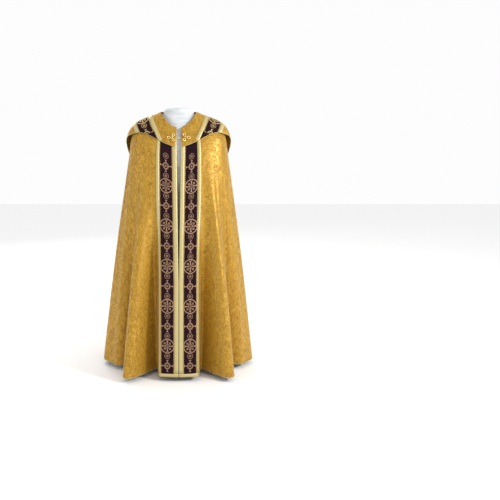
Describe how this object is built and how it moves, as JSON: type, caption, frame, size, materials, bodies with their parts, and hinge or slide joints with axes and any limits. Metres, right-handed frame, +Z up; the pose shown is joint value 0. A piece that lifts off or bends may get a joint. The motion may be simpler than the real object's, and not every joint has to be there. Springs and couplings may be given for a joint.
{
  "type": "cope vestment on limbless dress form",
  "caption": "Gold damask cope with dark velvet orphreys, metallic galloons, shield hood, brass trefoil clasp and tassel, worn on a plain limbless dress form.",
  "frame": {"origin": "on the floor at the centre of the form's base, on its underside", "axes": "+Z up, the garment's front faces -Y, +X to the right as the front is seen"},
  "size_m": [0.8855, 0.7643, 1.485],
  "materials": {
    "damask": "gold damask with metallic thread",
    "velvet": "dark aubergine velvet",
    "galloon": "woven metallic braid",
    "brass": "polished",
    "cover": "plain grey jersey",
    "stand": "satin grey"
  },
  "bodies": {
    "root": {"clasp_hook": "brass", "clasp_left": "brass", "clasp_right": "brass", "form_base": "stand", "form_pole": "stand", "form_torso": "cover", "galloon_left_foot": "galloon", "galloon_left_inner": "galloon", "galloon_left_outer": "galloon", "galloon_right_foot": "galloon", "galloon_right_inner": "galloon", "galloon_right_outer": "galloon", "hood": "damask", "hood_band_centre": "velvet", "hood_band_left": "velvet", "hood_band_right": "velvet", "hood_galloon_centre_left": "galloon", "hood_galloon_centre_right": "galloon", "hood_galloon_left_inner": "galloon", "hood_galloon_left_outer": "galloon", "hood_galloon_right_inner": "galloon", "hood_galloon_right_outer": "galloon", "mantle": "damask", "orphrey_left": "velvet", "orphrey_right": "velvet", "tassel": "galloon", "tassel_cord": "galloon"}
  },
  "joints": []
}
